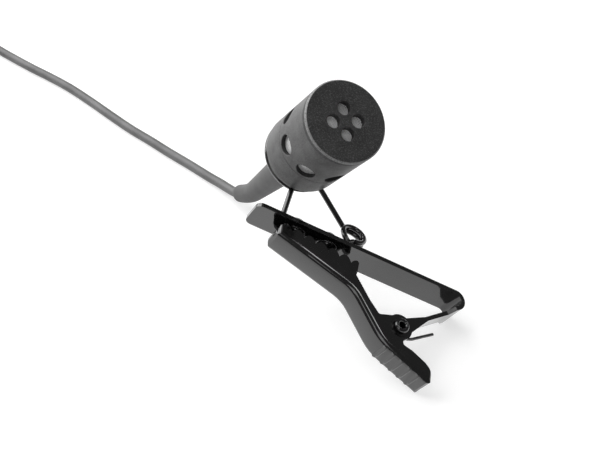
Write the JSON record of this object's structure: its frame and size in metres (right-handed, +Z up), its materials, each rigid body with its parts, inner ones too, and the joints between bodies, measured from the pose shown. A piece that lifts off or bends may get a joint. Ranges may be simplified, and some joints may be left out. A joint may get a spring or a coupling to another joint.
{
  "type": "lavalier microphone",
  "caption": "Small cylindrical clip-on microphone with side ports, held by a bent wire on a sprung toothed clip, with a coiled cable and a plug.",
  "frame": {"origin": "centre of the base of the microphone and clip as they lie on a table, without the cable behind the strain relief", "axes": "+Z up from the table, +Y away from the viewer, +X to the viewer's right; the cable leaves to the left and the rear"},
  "size_m": [0.1569, 0.1308, 0.0445],
  "materials": {
    "cap_finish": "matt black enamel with a fine speckle",
    "gauze": "bright woven steel gauze",
    "shell_finish": "bead-blasted satin charcoal",
    "holder_rubber": "matt rubber",
    "bare_metal": "plain drawn metal",
    "film": "metallised film",
    "gilt": "gilt brass",
    "pale_plastic": "moulded plastic",
    "dark_plastic": "moulded plastic",
    "board": "glass-fibre board",
    "red_insulation": "wire insulation",
    "relief_rubber": "moulded matt rubber",
    "cable_jacket": "matt cable jacket",
    "tie_fabric": "hook-and-loop strap",
    "plug_metal": "satin turned metal",
    "black_wire": "black lacquered spring wire",
    "clip_lacquer": "glossy black lacquer on stamped steel",
    "spring_steel": "spring steel"
  },
  "bodies": {
    "capsule": {"front_cap": "cap_finish", "front_mesh": "gauze", "front_shell": "shell_finish", "port_mesh": "gauze", "element_holder": "holder_rubber", "element_can": "bare_metal", "diaphragm": "film", "backplate": "gilt", "insulator_ring": "pale_plastic", "element_board": "board", "signal_lead": "red_insulation", "shield_lead": "bare_metal", "rear_shell": "shell_finish", "strain_relief": "relief_rubber", "cable_run": "cable_jacket", "cable_coil": "cable_jacket", "cable_tie": "tie_fabric", "cable_tail": "cable_jacket", "plug_boot": "relief_rubber", "plug_barrel": "plug_metal", "plug_sleeve": "gilt", "plug_insulators": "dark_plastic", "plug_ring": "gilt", "plug_tip": "gilt"},
    "holder": {"wire_holder": "black_wire"},
    "upper_clip": {"upper_jaw": "clip_lacquer", "pivot_rivet": "clip_lacquer", "torsion_spring": "spring_steel"},
    "lower_clip": {"lower_jaw": "clip_lacquer"}
  },
  "joints": [
    {"name": "holder_turn", "type": "hinge", "parent": "capsule", "child": "holder", "pos_m": [-0.00773, 0.00914, 0.02558], "axis": [-0.391, 0.4743, -0.7888], "continuous": true},
    {"name": "clip_swing", "type": "hinge", "parent": "holder", "child": "upper_clip", "pos_m": [-0.00596, -0.00245, 0.01774], "axis": [0.8752, -0.0735, -0.4781], "range_deg": [-25, 60]},
    {"name": "jaw_open", "type": "hinge", "parent": "upper_clip", "child": "lower_clip", "pos_m": [0.00795, -0.01644, 0.00696], "axis": [0.4543, -0.2141, 0.8647], "range_deg": [0, 26], "stiffness_Nm_per_rad": 0.04, "springref_deg": -28.65, "deforming": ["torsion_spring"]}
  ]
}
